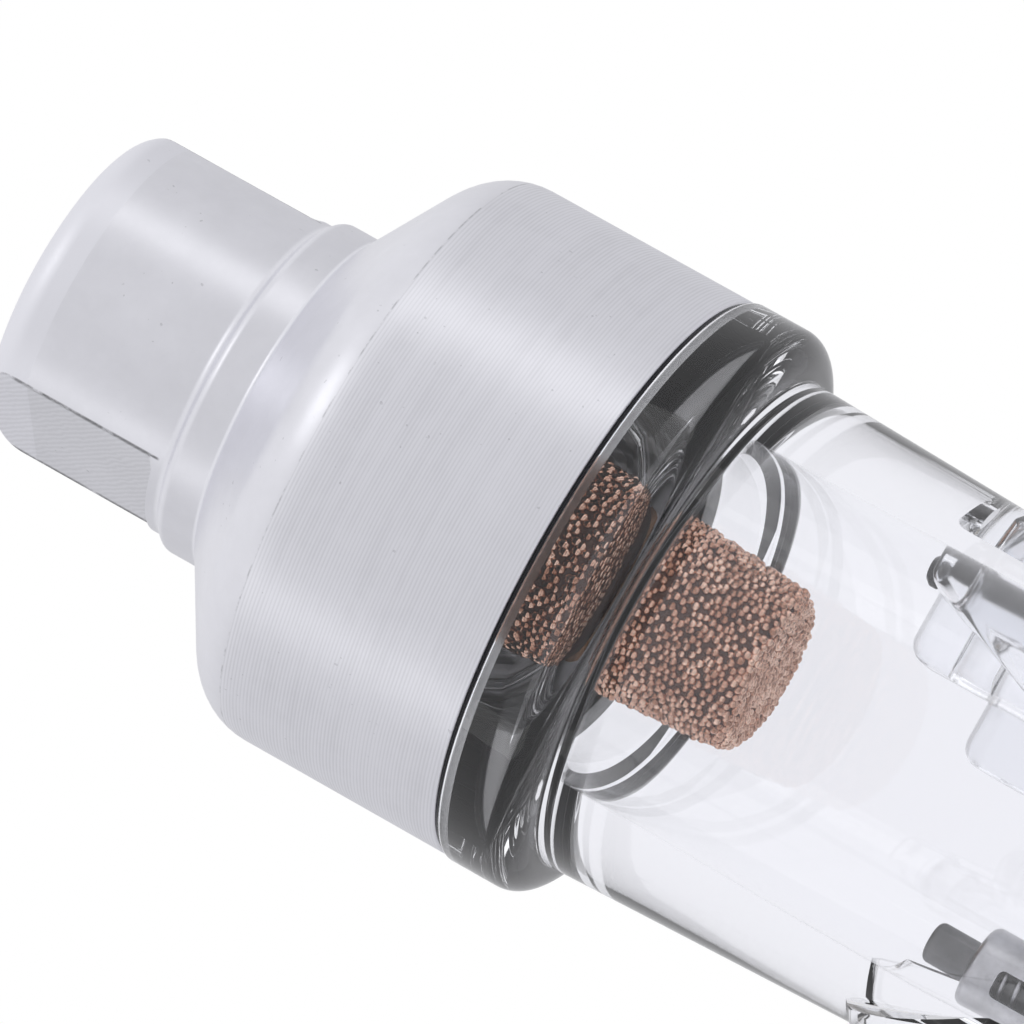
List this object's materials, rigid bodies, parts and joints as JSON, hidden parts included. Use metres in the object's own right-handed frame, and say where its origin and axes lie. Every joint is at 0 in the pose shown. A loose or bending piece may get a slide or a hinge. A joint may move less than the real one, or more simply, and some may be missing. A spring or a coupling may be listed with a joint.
{
  "type": "inline gas filter",
  "caption": "Inline gas filter: turned aluminium head with threaded inlet and wrench flats, sintered bronze element in a clear screw-on bowl, outlet nipple and push drain valve.",
  "frame": {"origin": "centre of the inlet end face, on the filter's axis", "axes": "+Z along the filter's axis, out of the inlet, so the bowl, drain and outlet lie at -Z; -X is the drain valve's side and +X the riser's side"},
  "size_m": [0.0272, 0.0272, 0.0771],
  "materials": {
    "aluminium_head": "plain turned, satin, fine lathe lines on the cylinder",
    "clear_plastic": "clear, moulded, glossy",
    "sintered_bronze": "porous, fused bronze grains",
    "black_rubber": "smooth black rubber",
    "turned_brass": "bright turned",
    "nickel_plate": "nickel plate over turned brass",
    "stainless_steel": "drawn and turned",
    "red_fibre": "pressed fibre",
    "white_nylon": "plain moulded"
  },
  "bodies": {
    "head_body": {"head": "aluminium_head", "inlet_washer": "white_nylon", "element_gasket": "red_fibre", "element_carrier": "turned_brass", "filter_element": "sintered_bronze"},
    "seal_body": {"bowl_o_ring": "black_rubber"},
    "bowl_body": {"bowl": "clear_plastic", "riser_plug": "black_rubber", "outlet_insert": "turned_brass", "outlet_o_ring": "black_rubber", "outlet_fitting": "nickel_plate", "outlet_thread_seal": "black_rubber", "drain_bush": "nickel_plate", "drain_bush_o_ring": "black_rubber", "drain_cage": "stainless_steel", "drain_spring": "stainless_steel"},
    "drain_plunger": {"drain_stem": "stainless_steel", "drain_seal": "black_rubber", "seal_clip": "stainless_steel", "drain_button": "nickel_plate"}
  },
  "joints": [
    {"name": "bowl_travel", "type": "slide", "parent": "head_body", "child": "seal_body", "axis": [0, 0, 1], "range_m": [-0.004, 0]},
    {"name": "bowl_turn", "type": "hinge", "parent": "seal_body", "child": "bowl_body", "pos_m": [0, 0, -0.02708], "axis": [0, 0, 1], "range_deg": [-1441, 0]},
    {"name": "drain_press", "type": "slide", "parent": "bowl_body", "child": "drain_plunger", "axis": [0, 0, 1], "range_m": [0, 0.0015], "stiffness_N_per_m": 400, "springref_m": -0.0015, "deforming": ["drain_spring"]}
  ],
  "couplings": [
    {"joint": "bowl_turn", "follows": "bowl_travel", "rad_per_m": 6283.2}
  ]
}
